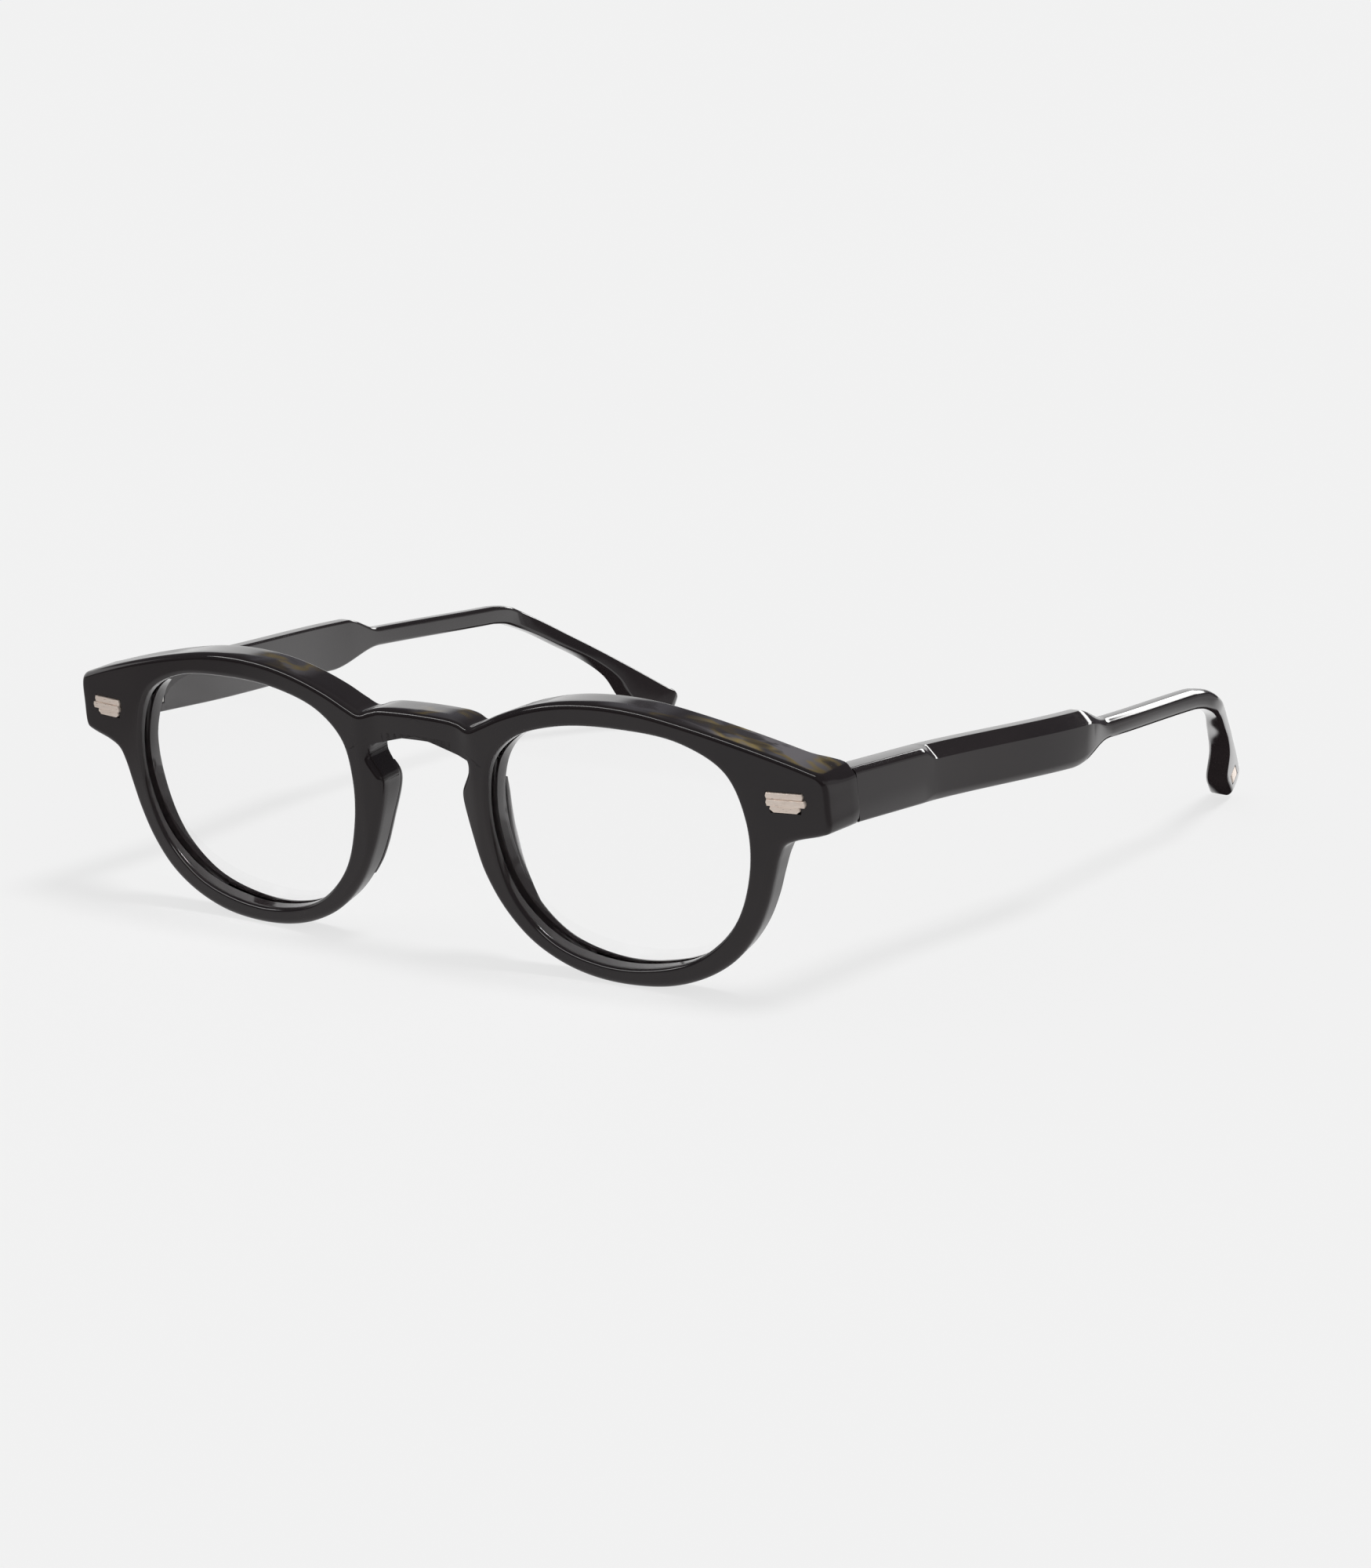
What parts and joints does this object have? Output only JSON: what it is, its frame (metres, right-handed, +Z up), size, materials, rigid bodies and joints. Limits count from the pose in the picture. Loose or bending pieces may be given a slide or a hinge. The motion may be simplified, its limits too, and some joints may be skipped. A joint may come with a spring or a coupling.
{
  "type": "eyeglasses",
  "caption": "Thick acetate eyeglasses with round lens openings, a keyhole bridge and stepped temples that fold on screwed hinges.",
  "frame": {"origin": "middle of the object's box on the surface it stands on, between the lower rims and the temple tips", "axes": "+X to the wearer's left, +Y back from the front to the temple tips, +Z up; standing open on the rims and the temple tips"},
  "size_m": [0.152, 0.1494, 0.0441],
  "materials": {
    "front_acetate": "polished black acetate with faint grey-brown marbling in its top edges",
    "temple_acetate": "polished black acetate",
    "pad_acetate": "polished black acetate",
    "demo_lens": "clear uncoated demo lens",
    "rose_gold": "satin pale rose gold plating",
    "hinge_metal": "satin nickel silver",
    "screw_steel": "turned stainless steel",
    "core_wire": "drawn nickel silver wire"
  },
  "bodies": {
    "front": {"front_frame": "front_acetate", "lens_left": "demo_lens", "lens_right": "demo_lens", "nose_pad_left": "pad_acetate", "nose_pad_right": "pad_acetate", "front_plaque_left": "rose_gold", "front_plaque_right": "rose_gold", "front_hinge_left": "hinge_metal", "front_hinge_right": "hinge_metal", "hinge_screw_left": "screw_steel", "hinge_screw_right": "screw_steel"},
    "temple_left": {"temple_left": "temple_acetate", "temple_hinge_left": "hinge_metal", "core_wire_left": "core_wire", "tip_inlay_left": "rose_gold", "temple_rivet_front_left": "screw_steel", "temple_rivet_back_left": "screw_steel"},
    "temple_right": {"temple_right": "temple_acetate", "temple_hinge_right": "hinge_metal", "core_wire_right": "core_wire", "tip_inlay_right": "rose_gold", "temple_rivet_front_right": "screw_steel", "temple_rivet_back_right": "screw_steel"}
  },
  "joints": [
    {"name": "temple_fold_left", "type": "hinge", "parent": "front", "child": "temple_left", "pos_m": [0.0663, -0.06246, 0.03189], "axis": [0, -0.0898, 0.996], "range_deg": [0, 88]},
    {"name": "temple_fold_right", "type": "hinge", "parent": "front", "child": "temple_right", "pos_m": [-0.0663, -0.06246, 0.03189], "axis": [0, 0.0898, -0.996], "range_deg": [0, 80]}
  ]
}
